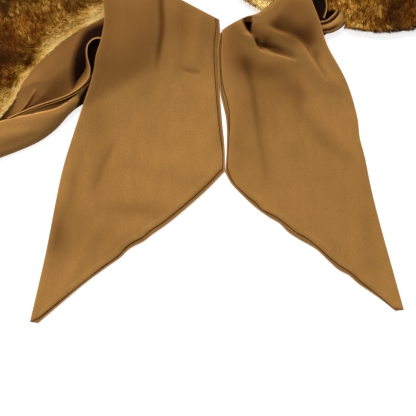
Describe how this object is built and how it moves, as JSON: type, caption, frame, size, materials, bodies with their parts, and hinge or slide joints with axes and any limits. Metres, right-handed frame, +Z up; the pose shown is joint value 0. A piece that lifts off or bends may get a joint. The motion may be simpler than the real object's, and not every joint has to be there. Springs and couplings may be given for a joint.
{
  "type": "fur collar wrap",
  "caption": "Horseshoe collar of short brown and gold fur with wide pointed crepe ties folded over at its open front; worn round the shoulders and shown laid out flat.",
  "frame": {"origin": "on the table, under the middle of the whole wrap laid out flat", "axes": "+Z up off the table, +Y from the points of the ties towards the back of the collar, +X to the right seen from above"},
  "size_m": [0.6266, 0.736, 0.028],
  "materials": {
    "fur": "dense soft fur about 10 mm long, brown with gold and dark patches and a pale gold rim at the front ends",
    "crepe": "matte golden brown crepe with a fine pebbled grain"
  },
  "bodies": {
    "root": {"fur_collar": "fur", "tie_left_front": "crepe", "tie_left_back": "crepe", "tie_left_root": "crepe", "tie_left_pleat": "crepe", "tie_left_roll": "crepe", "tie_right_front": "crepe", "tie_right_back": "crepe", "tie_right_root": "crepe", "tie_right_loop_inner": "crepe", "tie_right_loop_outer": "crepe", "tie_right_pleat": "crepe"}
  },
  "joints": []
}
